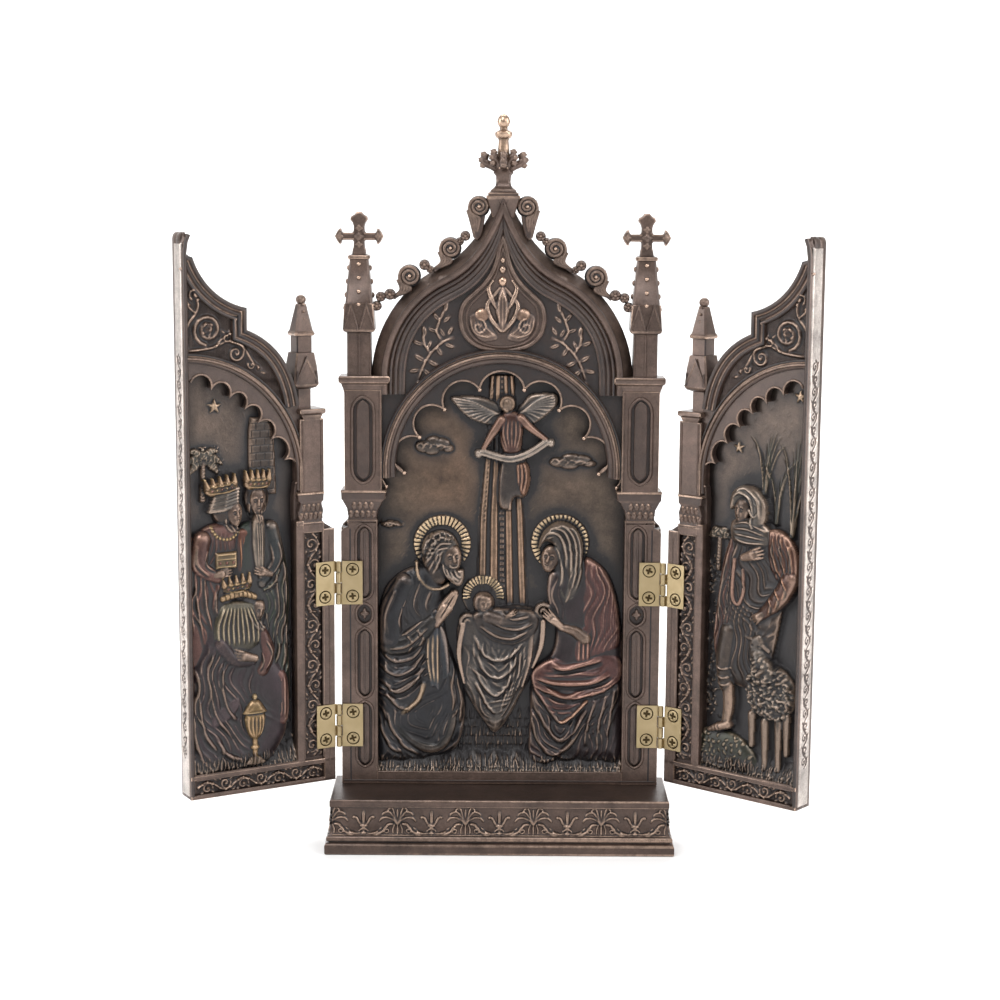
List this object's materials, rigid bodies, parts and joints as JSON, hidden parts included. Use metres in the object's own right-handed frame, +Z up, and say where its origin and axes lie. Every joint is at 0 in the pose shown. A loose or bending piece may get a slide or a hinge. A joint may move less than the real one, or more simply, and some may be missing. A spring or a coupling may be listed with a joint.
{
  "type": "folding triptych altarpiece",
  "caption": "Small Gothic folding altarpiece: gabled relief panel on a moulded plinth with two hinged relief doors that close over it.",
  "frame": {"origin": "on the plinth's underside, midway between its ends and straight below the front face of the centre casting", "axes": "+X to the viewer's right, +Y away from the viewer, +Z up; the doors stand partly open at rest, as pictured"},
  "size_m": [0.204, 0.0459, 0.2397],
  "materials": {
    "painted_bronze": "bronze-filled resin with a dark patina, rubbed highlights and hand-painted tints",
    "plinth_bronze": "bronze-filled resin with a dark patina and rubbed edges",
    "brass_hinges": "bright pressed brass",
    "brass_screws": "bright turned brass"
  },
  "bodies": {
    "shrine": {"plinth": "plinth_bronze", "centre_panel": "painted_bronze", "left_lower_hinge_fixed_leaf": "brass_hinges", "left_lower_hinge_pin": "brass_hinges", "left_lower_hinge_fixed_bottom_screw": "brass_screws", "left_lower_hinge_fixed_top_screw": "brass_screws", "left_upper_hinge_fixed_leaf": "brass_hinges", "left_upper_hinge_pin": "brass_hinges", "left_upper_hinge_fixed_bottom_screw": "brass_screws", "left_upper_hinge_fixed_top_screw": "brass_screws", "right_lower_hinge_fixed_leaf": "brass_hinges", "right_lower_hinge_pin": "brass_hinges", "right_lower_hinge_fixed_bottom_screw": "brass_screws", "right_lower_hinge_fixed_top_screw": "brass_screws", "right_upper_hinge_fixed_leaf": "brass_hinges", "right_upper_hinge_pin": "brass_hinges", "right_upper_hinge_fixed_bottom_screw": "brass_screws", "right_upper_hinge_fixed_top_screw": "brass_screws"},
    "left_door": {"left_door": "painted_bronze", "left_lower_hinge_door_leaf": "brass_hinges", "left_lower_hinge_door_bottom_screw": "brass_screws", "left_lower_hinge_door_top_screw": "brass_screws", "left_upper_hinge_door_leaf": "brass_hinges", "left_upper_hinge_door_bottom_screw": "brass_screws", "left_upper_hinge_door_top_screw": "brass_screws"},
    "right_door": {"right_door": "painted_bronze", "right_lower_hinge_door_leaf": "brass_hinges", "right_lower_hinge_door_bottom_screw": "brass_screws", "right_lower_hinge_door_top_screw": "brass_screws", "right_upper_hinge_door_leaf": "brass_hinges", "right_upper_hinge_door_bottom_screw": "brass_screws", "right_upper_hinge_door_top_screw": "brass_screws"}
  },
  "joints": [
    {"name": "left_door_hinges", "type": "hinge", "parent": "shrine", "child": "left_door", "pos_m": [-0.0535, -0.0011, 0.0628], "axis": [0, 0, 1], "range_deg": [-30, 150]},
    {"name": "right_door_hinges", "type": "hinge", "parent": "shrine", "child": "right_door", "pos_m": [0.0535, -0.0011, 0.0628], "axis": [0, 0, 1], "range_deg": [-140, 40]}
  ]
}
